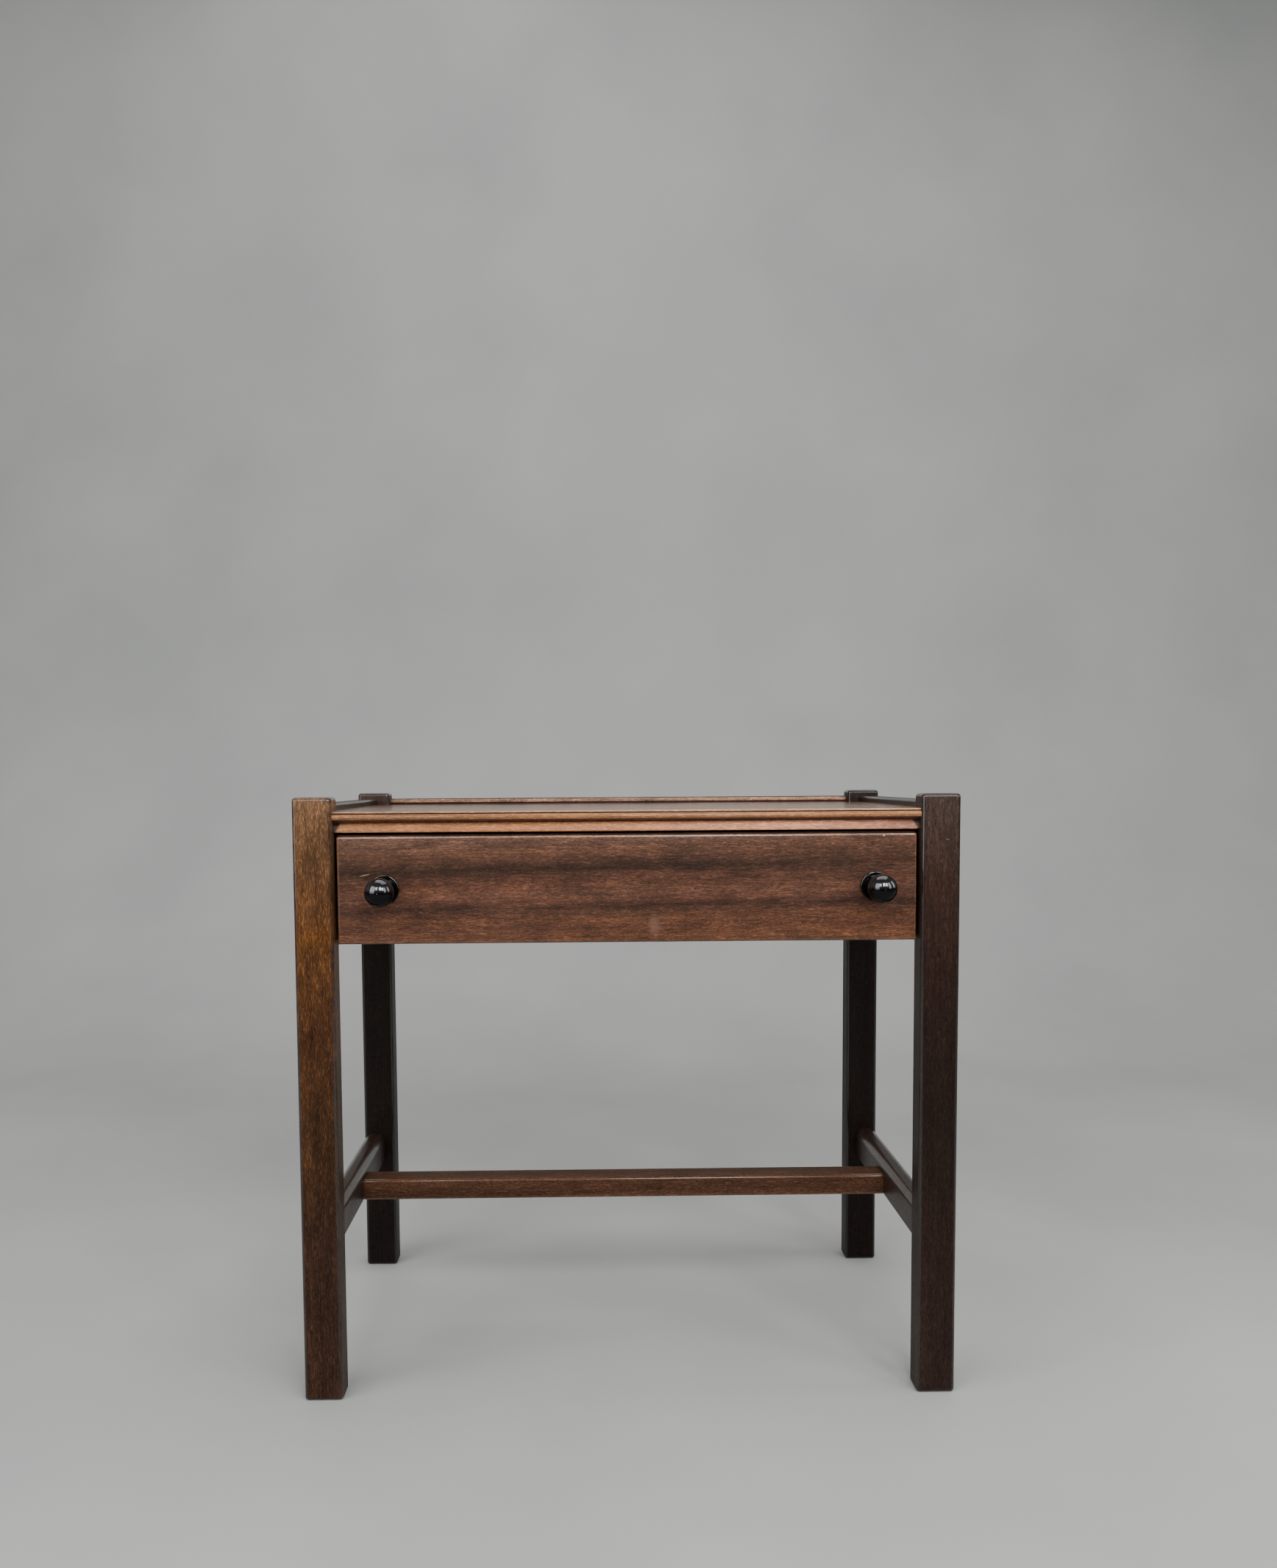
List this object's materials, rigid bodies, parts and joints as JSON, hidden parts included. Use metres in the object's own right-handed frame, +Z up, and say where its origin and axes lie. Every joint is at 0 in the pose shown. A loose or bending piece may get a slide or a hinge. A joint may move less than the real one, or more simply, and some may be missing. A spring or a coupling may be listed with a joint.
{
  "type": "side table with drawer",
  "caption": "Small rectangular side table of dark wood with a sunk, lipped top, an H-shaped stretcher and a sliding drawer with round knobs.",
  "frame": {"origin": "on the floor, at the middle of the whole box with the knobs in it", "axes": "+Z up, -Y out of the drawer's front, +X to the right of someone who faces the drawer"},
  "size_m": [0.55, 0.3648, 0.508],
  "materials": {
    "leg_wood": "dark stain under satin lacquer",
    "top_wood": "dark stain under satin lacquer",
    "moulding_wood": "dark stain under satin lacquer",
    "apron_wood": "dark stain under satin lacquer",
    "stretcher_wood": "dark stain under satin lacquer",
    "drawer_front_wood": "dark stain under satin lacquer",
    "drawer_box_wood": "bare, sanded",
    "plywood": "bare, sanded",
    "inner_wood": "bare, sawn and planed",
    "black_lacquer": "gloss lacquer",
    "steel": "dull bright steel"
  },
  "bodies": {
    "frame": {"leg_front_left": "leg_wood", "leg_front_right": "leg_wood", "leg_back_left": "leg_wood", "leg_back_right": "leg_wood", "table_top": "top_wood", "front_nosing": "moulding_wood", "front_top_rail": "moulding_wood", "side_apron_left": "apron_wood", "side_apron_right": "apron_wood", "back_apron": "apron_wood", "side_stretcher_left": "stretcher_wood", "side_stretcher_right": "stretcher_wood", "cross_stretcher": "stretcher_wood", "drawer_runner_left": "inner_wood", "drawer_runner_right": "inner_wood", "drawer_guide_left": "inner_wood", "drawer_guide_right": "inner_wood", "kicker_left": "inner_wood", "kicker_right": "inner_wood", "drawer_stop_left": "inner_wood", "drawer_stop_right": "inner_wood", "glue_block_left": "inner_wood", "glue_block_middle": "inner_wood", "glue_block_right": "inner_wood", "guide_screws": "steel", "runner_screws": "steel", "kicker_screws": "steel"},
    "drawer": {"drawer_front": "drawer_front_wood", "drawer_side_left": "drawer_box_wood", "drawer_side_right": "drawer_box_wood", "drawer_back": "drawer_box_wood", "drawer_bottom": "plywood", "knob_left": "black_lacquer", "knob_right": "black_lacquer", "knob_screw_left": "steel", "knob_screw_right": "steel", "drawer_bottom_pins": "steel"}
  },
  "joints": [
    {"name": "drawer_slide", "type": "slide", "parent": "frame", "child": "drawer", "axis": [0, -1, 0], "range_m": [0, 0.2]}
  ]
}
